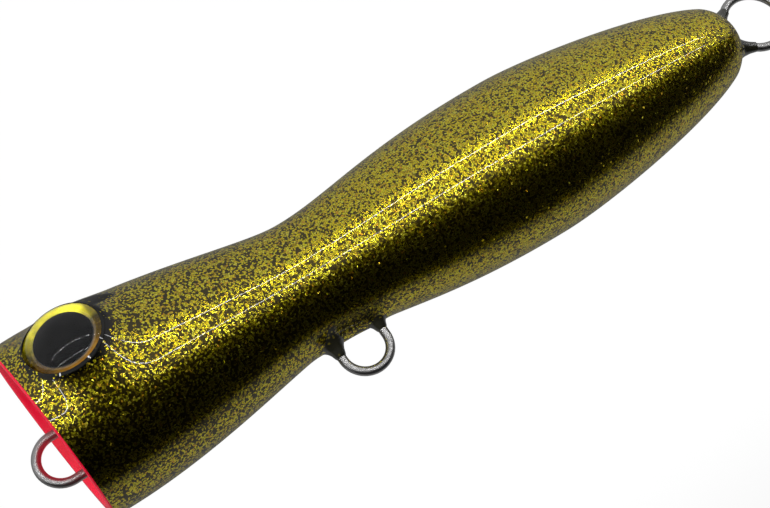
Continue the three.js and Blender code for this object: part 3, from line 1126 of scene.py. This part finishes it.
def add_world():
    """Soft light from all round, by its angle about the lure's length."""
    world = bpy.data.worlds.new("studio_light")
    bpy.context.scene.world = world
    world.use_nodes = True
    tree = world.node_tree
    nodes, links = tree.nodes, tree.links
    background = nodes["Background"]
    direction = nodes.new("ShaderNodeTexCoord").outputs["Generated"]
    parts = []
    for axis in (-INWARD, DOWNWARD):
        dot = nodes.new("ShaderNodeVectorMath")
        dot.operation = "DOT_PRODUCT"
        dot.inputs[1].default_value = axis
        links.new(direction, dot.inputs[0])
        parts.append(dot.outputs["Value"])
    angle = nodes.new("ShaderNodeMath")
    angle.operation = "ARCTAN2"
    links.new(parts[1], angle.inputs[0])
    links.new(parts[0], angle.inputs[1])
    share = nodes.new("ShaderNodeMath")
    share.operation = "MULTIPLY_ADD"
    share.inputs[1].default_value = 1 / TAU
    share.inputs[2].default_value = 0.5
    links.new(angle.outputs[0], share.inputs[0])
    ramp = nodes.new("ShaderNodeValToRGB")
    elements = ramp.color_ramp.elements
    while len(elements) < len(SKY):
        elements.new(0.5)
    for element, (degrees, level) in zip(elements, SKY):
        element.position = degrees / 360 + 0.5
        element.color = (level, level, level, 1)
    links.new(share.outputs[0], ramp.inputs["Fac"])
    links.new(ramp.outputs["Color"], background.inputs["Color"])
    background.inputs["Strength"].default_value = 1.0


def add_strip(name, degrees, width, radiance):
    """A long thin lamp parallel to the lure, at an angle about its length."""
    angle = math.radians(degrees)
    direction = math.sin(angle) * DOWNWARD - math.cos(angle) * INWARD
    along = Vector((1, 0, 0))
    data = bpy.data.lights.new(name, "AREA")
    data.shape = "RECTANGLE"
    data.size, data.size_y = STRIP["length"], width
    data.energy = radiance * math.pi * STRIP["length"] * width
    lamp = bpy.data.objects.new(name, data)
    turn = Matrix((along, direction.cross(along), direction)).transposed()
    centre = Vector(to_row((STRIP["middle"], 0, 0))) + STRIP["distance"] * direction
    lamp.matrix_world = Matrix.Translation(centre) @ turn.to_4x4()
    bpy.context.scene.collection.objects.link(lamp)
    lamp.visible_camera = False


def add_front_softbox():
    """A soft square lamp ahead of the lure, which lights the cup and the lip."""
    data = bpy.data.lights.new("front_softbox", "AREA")
    data.shape = "SQUARE"
    data.size = SOFTBOX["size"]
    data.energy = SOFTBOX["energy"]
    lamp = bpy.data.objects.new("front_softbox", data)
    direction = SOFTBOX["towards"].normalized()
    lamp.location = Vector(to_row((0, 0, 0))) + SOFTBOX["distance"] * direction
    lamp.rotation_euler = direction.to_track_quat("Z", "Y").to_euler()
    bpy.context.scene.collection.objects.link(lamp)
    lamp.visible_camera = False
    lamp.visible_glossy = False


def add_studio():
    """One pale bowl: a floor that curves up into a white backdrop all round, and a lid."""
    floor_z, flat, curve, top = (BOWL[key] for key in ("floor", "flat", "curve", "top"))
    profile = [(0.0, floor_z), (0.6, floor_z), (flat, floor_z)]
    profile += [
        (flat + curve * math.sin(a), floor_z + curve * (1 - math.cos(a)))
        for a in np.linspace(0.08, math.pi / 2, 18)
    ]
    profile += [(flat + curve, top), (0.0, top)]
    points, faces = revolve(profile, 96)
    mesh = bpy.data.meshes.new("studio_floor")
    mesh.from_pydata(points.tolist(), [], [face[::-1] for face in faces])
    mesh.shade_smooth()
    n = Nodes("pale_studio")
    height = n.add("ShaderNodeSeparateXYZ", {"Vector": n.object_coordinates()}).outputs["Z"]
    glow = n.range(height, floor_z, floor_z + 0.3, 0.93, 1.0)
    grain = n.noise(60.0, 2.0)
    n.set(
        Base_Color=n.mix(grain, (0.012, 0.012, 0.012, 1), (0.020, 0.020, 0.020, 1)),
        Roughness=0.9,
        Specular_IOR_Level=0.0,
        Emission_Color=(1, 1, 1, 1),
        Emission_Strength=glow,
    )
    mesh.materials.append(n.material)
    studio = bpy.data.objects.new("studio_floor", mesh)
    bpy.context.scene.collection.objects.link(studio)
    for ray in ("visible_diffuse", "visible_glossy", "visible_shadow", "visible_volume_scatter"):
        setattr(studio, ray, False)


add_camera()
add_world()
add_strip("upper_strip", -37, 0.0075, 30.0)
add_strip("lower_strip", -12, 0.006, 28.0)
add_front_softbox()
add_studio()
bpy.context.scene.view_settings.view_transform = "Standard"
